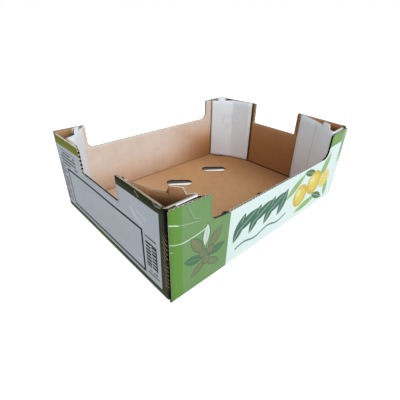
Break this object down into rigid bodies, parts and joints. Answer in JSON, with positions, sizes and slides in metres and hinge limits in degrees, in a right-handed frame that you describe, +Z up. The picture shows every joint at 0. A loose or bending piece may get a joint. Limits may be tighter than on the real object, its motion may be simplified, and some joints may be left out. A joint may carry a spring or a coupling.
{
  "type": "cardboard tray box",
  "caption": "Open stacking tray folded from one blank of corrugated board, with raised corners, hollow corner posts with stacking tabs, lowered wall middles and a vented floor.",
  "frame": {"origin": "centre of the tray's footprint, on the floor's underside", "axes": "+X along the length, towards the end without the label, +Y across the width, +Z up"},
  "size_m": [0.4, 0.3, 0.144],
  "materials": {
    "board": "corrugated board, white printed liner outside and plain brown liner inside"
  },
  "bodies": {
    "root": {"tray": "board"}
  },
  "joints": []
}
